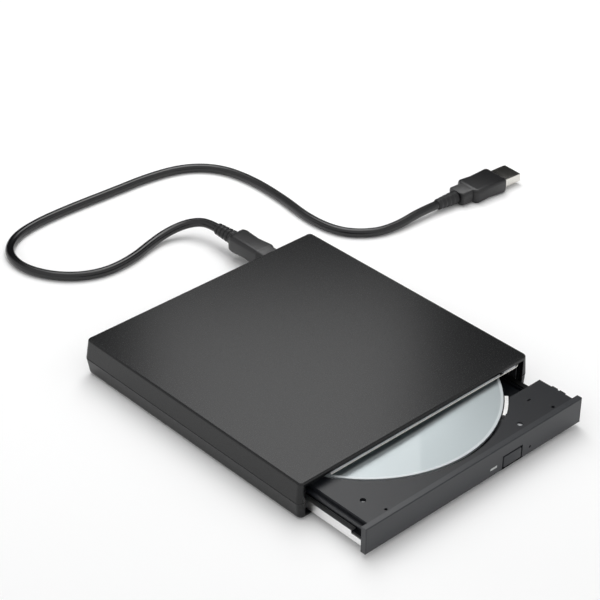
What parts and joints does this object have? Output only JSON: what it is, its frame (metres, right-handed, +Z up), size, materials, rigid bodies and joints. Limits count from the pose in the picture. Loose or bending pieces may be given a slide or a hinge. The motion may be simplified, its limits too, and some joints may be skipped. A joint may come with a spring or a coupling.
{
  "type": "external optical drive",
  "caption": "Slim external optical drive with a sliding disc tray, eject button, disc, pickup mechanism and a plug-in cable lying in a loop.",
  "frame": {"origin": "centre of the case's flat underside, between its rubber feet", "axes": "+Z up, -Y out of the tray's mouth, +X to the right as seen from the mouth; the feet reach 0.8 mm below the origin"},
  "size_m": [0.2701, 0.2909, 0.0184],
  "materials": {
    "case_plastic": "satin moulded black",
    "foot_rubber": "matt",
    "screw_steel": "zinc plated",
    "pan_steel": "galvanised sheet",
    "cover_steel": "galvanised sheet",
    "rail_steel": "rolled sheet",
    "guide_plastic": "natural acetal",
    "board": "green lacquered laminate",
    "black_plastic": "moulded",
    "ribbon": "film",
    "plug_metal": "nickel plated",
    "plug_plastic": "moulded",
    "cable_jacket": "extruded",
    "tray_plastic": "fine satin",
    "bezel_plastic": "fine satin",
    "window": "clear moulded",
    "spring_steel": "drawn wire",
    "solenoid": "dark plated",
    "stator": "wound copper",
    "disc": "metallised polycarbonate",
    "turntable_plastic": "moulded",
    "sled_metal": "die cast",
    "carrier": "moulded",
    "lens": "coated"
  },
  "bodies": {
    "case": {"top_shell": "case_plastic", "bottom_shell": "case_plastic", "rubber_feet": "foot_rubber", "case_screws": "screw_steel", "drive_screws": "screw_steel", "small_screws": "screw_steel", "chassis_pan": "pan_steel", "chassis_cover": "cover_steel", "rail_guide_left": "guide_plastic", "rail_guide_right": "guide_plastic", "lock_post": "screw_steel", "drive_board": "board", "drive_connector": "black_plastic", "adapter_board": "board", "adapter_connector": "black_plastic", "bridge_chip": "black_plastic", "usb_socket": "plug_metal", "ribbon_cable": "ribbon", "plug_nose": "plug_metal", "plug_grip": "plug_plastic", "plug_relief": "plug_plastic", "cable": "cable_jacket", "host_relief": "plug_plastic", "host_grip": "plug_plastic", "host_shell": "plug_metal", "host_insert": "guide_plastic"},
    "rails": {"rail_left": "rail_steel", "rail_right": "rail_steel"},
    "tray": {"tray_frame": "tray_plastic", "bezel": "bezel_plastic", "tray_bottom_cover": "pan_steel", "tray_screws": "screw_steel", "light_window": "window", "edge_plate": "plug_metal", "front_board": "board", "eject_switch": "black_plastic", "indicator_led": "window", "tray_board": "board", "tray_chips": "black_plastic", "latch_spring": "spring_steel", "latch_solenoid": "solenoid", "motor_base": "pan_steel", "spindle_stator": "stator", "traverse_frame": "pan_steel", "guide_rods": "rail_steel", "dampers": "foot_rubber", "damper_screws": "screw_steel", "feed_motor": "solenoid"},
    "button": {"eject_button": "bezel_plastic"},
    "latch": {"latch_lever": "guide_plastic"},
    "spindle": {"optical_disc": "disc", "turntable": "turntable_plastic", "disc_claws": "rail_steel", "rotor_can": "solenoid", "spindle_shaft": "rail_steel"},
    "sled": {"pickup_sled": "sled_metal", "feed_nut": "guide_plastic"},
    "lens": {"lens_carrier": "carrier", "objective_lens": "lens"},
    "screw": {"lead_screw": "rail_steel"}
  },
  "joints": [
    {"name": "rails_slide", "type": "slide", "parent": "case", "child": "rails", "axis": [0, -1, 0], "range_m": [-0.0337, 0.0403]},
    {"name": "tray_slide", "type": "slide", "parent": "rails", "child": "tray", "axis": [0, -1, 0], "range_m": [0, 0.054]},
    {"name": "button_press", "type": "slide", "parent": "tray", "child": "button", "axis": [0, 1, 0], "range_m": [0, 0.0008], "stiffness_N_per_m": 800, "springref_m": -0.0006},
    {"name": "latch_swing", "type": "hinge", "parent": "tray", "child": "latch", "pos_m": [0.004, 0.0011, 0.0061], "axis": [0, 0, -1], "range_deg": [0, 8], "stiffness_Nm_per_rad": 0.002, "springref_deg": -5.73},
    {"name": "spindle_spin", "type": "hinge", "parent": "tray", "child": "spindle", "pos_m": [0, -0.035, 0.008], "axis": [0, 0, 1], "continuous": true},
    {"name": "sled_slide", "type": "slide", "parent": "tray", "child": "sled", "axis": [-0.6428, -0.766, 0], "range_m": [-0.014, 0.0175]},
    {"name": "lens_focus", "type": "slide", "parent": "sled", "child": "lens", "axis": [0, 0, 1], "range_m": [-0.0004, 0.0004], "stiffness_N_per_m": 60},
    {"name": "lead_screw_spin", "type": "hinge", "parent": "tray", "child": "screw", "pos_m": [0.01417, -0.04689, 0.0064], "axis": [-0.6428, -0.766, 0], "continuous": true}
  ],
  "couplings": [
    {"joint": "lead_screw_spin", "follows": "sled_slide", "rad_per_m": 2094.4}
  ]
}
